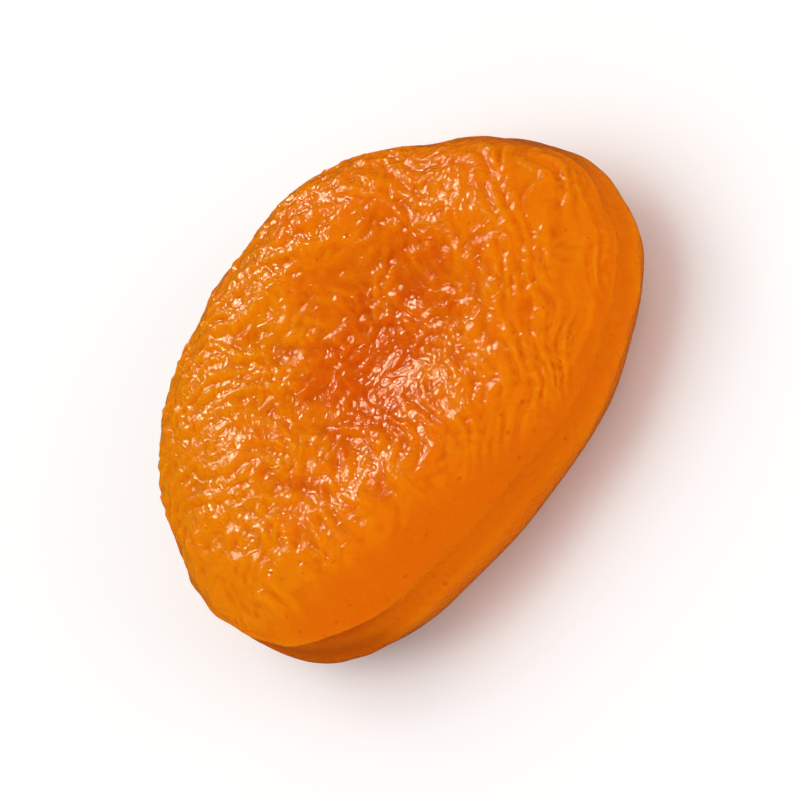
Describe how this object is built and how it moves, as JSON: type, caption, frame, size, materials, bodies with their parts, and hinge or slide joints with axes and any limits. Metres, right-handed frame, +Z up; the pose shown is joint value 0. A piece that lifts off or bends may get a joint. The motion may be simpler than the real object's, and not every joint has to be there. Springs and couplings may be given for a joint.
{
  "type": "dried apricot",
  "caption": "Plump soft-dried apricot: a lopsided disc with a thick rolled rim, sunken wrinkled faces and a seam that opens at one end. It lies flat as food or set dressing.",
  "frame": {"origin": "middle of the bounding box, on the surface that the fruit lies on", "axes": "+X along the length, away from the end that the stone was pressed out of; +Z up, through the thickness; +Y towards the rim's thicker side"},
  "size_m": [0.042, 0.0342, 0.0132],
  "materials": {
    "skin": "glossy and slightly sticky, translucent amber to deep orange"
  },
  "bodies": {
    "root": {"dried_apricot": "skin"}
  },
  "joints": []
}
